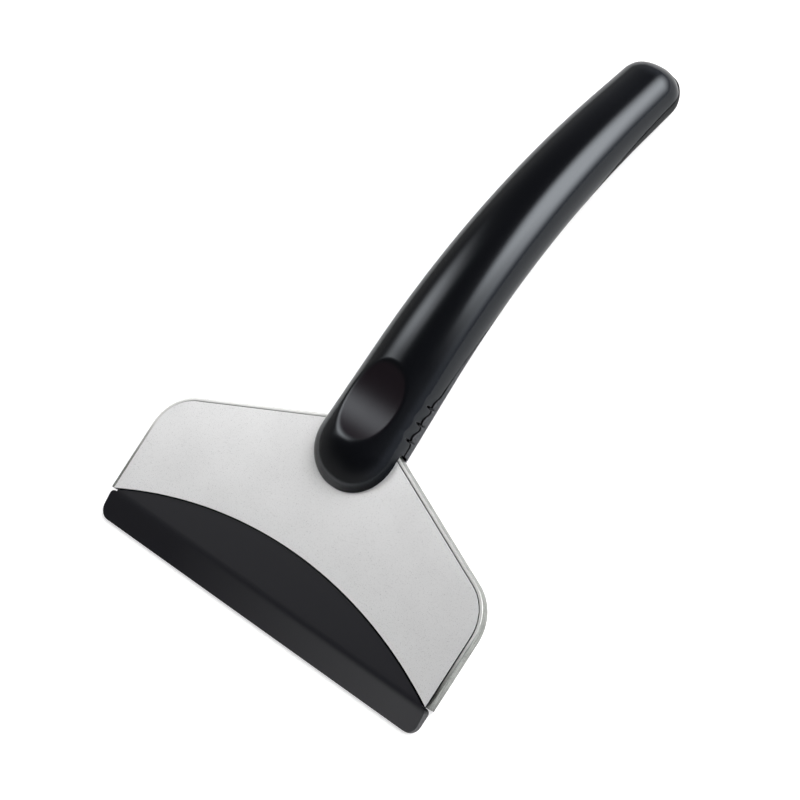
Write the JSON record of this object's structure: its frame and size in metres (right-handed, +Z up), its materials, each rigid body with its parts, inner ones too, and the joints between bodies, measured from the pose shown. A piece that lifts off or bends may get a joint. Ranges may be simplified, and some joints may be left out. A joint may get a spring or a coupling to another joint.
{
  "type": "ice scraper",
  "caption": "Hand ice scraper with a steel-faced head, a bevelled black plastic blade and a hollow split handle that bends down to its tail.",
  "frame": {"origin": "centre of the box that the scraper fills, on the surface that it rests on", "axes": "+X across the blade, +Y from the blade to the handle's tail, +Z up to the thumb side"},
  "size_m": [0.1112, 0.172, 0.0237],
  "materials": {
    "panel_steel": "satin, fine bead-blasted grain",
    "bonding_tape": "thin adhesive film",
    "blade_plastic": "moulded, low sheen",
    "pan_steel": "pressed, satin",
    "rivet_metal": "plain",
    "handle_gloss": "high gloss, moulded",
    "handle_matt": "fine spark-eroded texture",
    "screw_steel": "zinc plated"
  },
  "bodies": {
    "root": {"front_panel": "panel_steel", "panel_tape": "bonding_tape", "scraper_blade": "blade_plastic", "back_pan": "pan_steel", "rivet_left_outer": "rivet_metal", "rivet_left_middle": "rivet_metal", "rivet_left_inner": "rivet_metal", "rivet_right_outer": "rivet_metal", "rivet_right_middle": "rivet_metal", "rivet_right_inner": "rivet_metal", "handle_top_shell": "handle_gloss", "handle_bottom_shell": "handle_matt", "head_screw": "screw_steel", "neck_screw": "screw_steel", "grip_screw": "screw_steel", "tail_screw": "screw_steel"}
  },
  "joints": []
}
